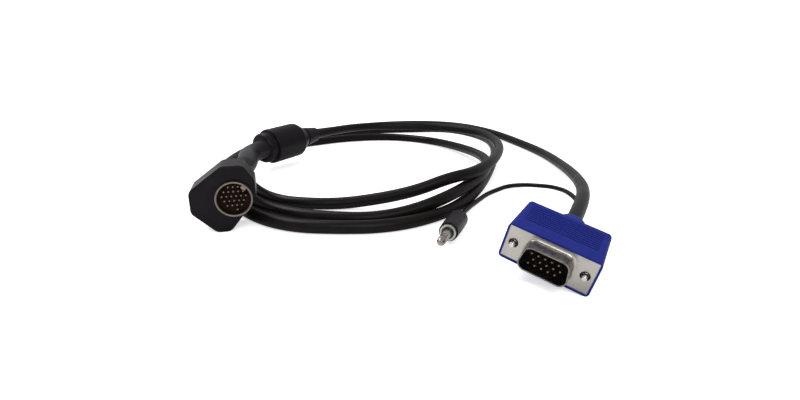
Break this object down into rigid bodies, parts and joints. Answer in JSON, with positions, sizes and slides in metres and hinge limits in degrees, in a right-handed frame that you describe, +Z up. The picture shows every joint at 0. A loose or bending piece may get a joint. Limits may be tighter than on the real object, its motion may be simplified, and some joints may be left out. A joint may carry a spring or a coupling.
{
  "type": "video cable",
  "caption": "Coiled video cable: angled round plug at one end, blue D-shaped plug with captive screws at the other, ferrite barrel, and a short audio lead with a jack.",
  "frame": {"origin": "on the table plane, under the middle of the box round the connectors and the ferrite, cords left out", "axes": "+Z up, +Y away from the viewer of the picture, +X to the viewer's right"},
  "size_m": [0.2272, 0.3409, 0.0296],
  "materials": {
    "blue_hood": "satin moulded",
    "nickel": "nickel plated",
    "black_insulator": "satin",
    "gold_contact": "gold flashed",
    "steel_screw": "nickel plated",
    "inner_plastic": "natural",
    "black_moulding": "moulded, satin",
    "ferrite": "sintered",
    "jack_metal": "nickel plated",
    "jack_band": "gloss",
    "cable_jacket": "smooth PVC, satin"
  },
  "bodies": {
    "cable": {"vga_hood": "blue_hood", "vga_front_shell": "nickel", "vga_rear_shell": "nickel", "vga_insulator": "black_insulator", "vga_core_block": "inner_plastic", "vga_pin_1": "gold_contact", "vga_pin_2": "gold_contact", "vga_pin_3": "gold_contact", "vga_pin_4": "gold_contact", "vga_pin_5": "gold_contact", "vga_pin_6": "gold_contact", "vga_pin_7": "gold_contact", "vga_pin_8": "gold_contact", "vga_pin_9": "gold_contact", "vga_pin_10": "gold_contact", "vga_pin_11": "gold_contact", "vga_pin_12": "gold_contact", "vga_pin_13": "gold_contact", "vga_pin_14": "gold_contact", "vga_pin_15": "gold_contact", "plug_body": "black_moulding", "plug_core": "inner_plastic", "plug_ring": "nickel", "plug_disc": "black_insulator", "plug_pins_row_1": "gold_contact", "plug_pins_row_2": "gold_contact", "plug_pins_row_3": "gold_contact", "plug_pins_row_4": "gold_contact", "plug_pins_row_5": "gold_contact", "plug_pins_row_6": "gold_contact", "ferrite_cover": "black_moulding", "ferrite_core": "ferrite", "jack_grip": "black_moulding", "jack_core": "inner_plastic", "jack_sleeve": "jack_metal", "jack_band_rear": "jack_band", "jack_ring": "jack_metal", "jack_band_front": "jack_band", "jack_tip": "jack_metal", "main_cable": "cable_jacket", "audio_lead": "cable_jacket"},
    "screw_left": {"vga_screw_left": "steel_screw"},
    "screw_right": {"vga_screw_right": "steel_screw"}
  },
  "joints": [
    {"name": "screw_left_turn", "type": "hinge", "parent": "cable", "child": "screw_left", "pos_m": [0.04986, -0.09056, 0.01412], "axis": [-0.4986, -0.8636, -0.075], "continuous": true},
    {"name": "screw_right_turn", "type": "hinge", "parent": "cable", "child": "screw_right", "pos_m": [0.07093, -0.10214, 0.0073], "axis": [-0.4986, -0.8636, -0.075], "continuous": true}
  ]
}
